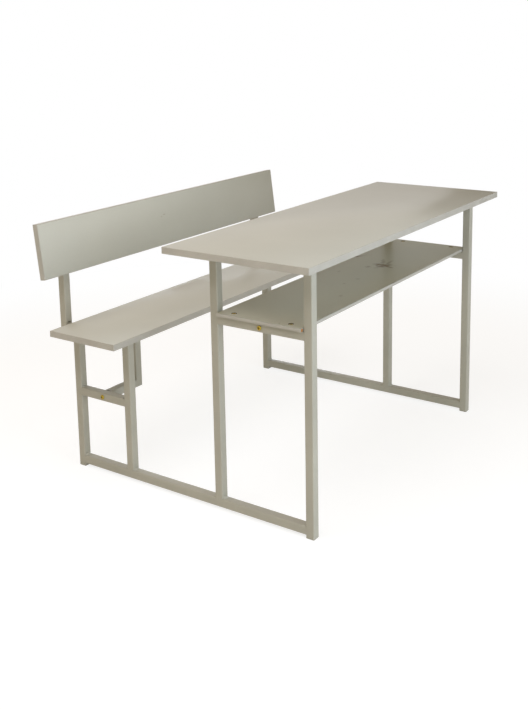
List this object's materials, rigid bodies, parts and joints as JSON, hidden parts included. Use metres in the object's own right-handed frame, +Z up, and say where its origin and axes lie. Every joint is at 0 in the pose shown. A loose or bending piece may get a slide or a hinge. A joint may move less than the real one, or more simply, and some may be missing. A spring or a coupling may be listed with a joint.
{
  "type": "school desk and bench",
  "caption": "School desk joined to a bench by square tube side frames, with a laminated desktop, an open book shelf, a plank seat and a tilted backrest.",
  "frame": {"origin": "on the floor, under the middle of the whole object's bounding box", "axes": "+X along the boards from the near end in the picture to the far end, -Y towards the front edge of the desktop, +Y towards the backrest, +Z up"},
  "size_m": [1.2, 0.9554, 0.7618],
  "materials": {
    "frame_paint": "satin warm grey paint on steel tube",
    "laminate": "satin beige grey laminate on board",
    "shelf_laminate": "satin grey brown laminate on thin board",
    "edge_band": "satin light grey edge band",
    "plug_plastic": "matt warm grey",
    "yellow_zinc": "yellow zinc plating on steel"
  },
  "bodies": {
    "root": {"desktop": "laminate", "desktop_edge_band": "edge_band", "book_shelf": "shelf_laminate", "seat": "laminate", "seat_edge_band": "edge_band", "backrest": "laminate", "backrest_edge_band": "edge_band", "desk_stretcher": "frame_paint", "bench_stretcher_beam": "frame_paint", "right_bench_stretcher_arm": "frame_paint", "left_bench_stretcher_arm": "frame_paint", "right_bench_stretcher_post": "frame_paint", "left_bench_stretcher_post": "frame_paint", "right_desk_front_leg": "frame_paint", "left_desk_front_leg": "frame_paint", "right_desk_rear_leg": "frame_paint", "left_desk_rear_leg": "frame_paint", "right_bench_front_leg": "frame_paint", "left_bench_front_leg": "frame_paint", "right_bench_rear_leg": "frame_paint", "left_bench_rear_leg": "frame_paint", "right_floor_rail": "frame_paint", "left_floor_rail": "frame_paint", "right_desk_top_rail": "frame_paint", "left_desk_top_rail": "frame_paint", "right_desk_mid_rail": "frame_paint", "left_desk_mid_rail": "frame_paint", "right_bench_mid_rail": "frame_paint", "left_bench_mid_rail": "frame_paint", "right_seat_rail": "frame_paint", "left_seat_rail": "frame_paint", "right_backrest_upright": "frame_paint", "left_backrest_upright": "frame_paint", "right_desk_foot_plug": "plug_plastic", "left_desk_foot_plug": "plug_plastic", "right_bench_foot_plug": "plug_plastic", "left_bench_foot_plug": "plug_plastic", "right_upright_plug": "plug_plastic", "left_upright_plug": "plug_plastic", "right_desk_frame_bolt": "yellow_zinc", "left_desk_frame_bolt": "yellow_zinc", "right_bench_frame_bolt": "yellow_zinc", "left_bench_frame_bolt": "yellow_zinc", "right_front_shelf_screw": "yellow_zinc", "left_front_shelf_screw": "yellow_zinc", "right_rear_shelf_screw": "yellow_zinc", "left_rear_shelf_screw": "yellow_zinc", "right_front_desktop_screw": "yellow_zinc", "left_front_desktop_screw": "yellow_zinc", "right_rear_desktop_screw": "yellow_zinc", "left_rear_desktop_screw": "yellow_zinc", "right_front_seat_screw": "yellow_zinc", "left_front_seat_screw": "yellow_zinc", "right_rear_seat_screw": "yellow_zinc", "left_rear_seat_screw": "yellow_zinc", "right_lower_backrest_screw": "yellow_zinc", "left_lower_backrest_screw": "yellow_zinc", "right_upper_backrest_screw": "yellow_zinc", "left_upper_backrest_screw": "yellow_zinc"}
  },
  "joints": []
}
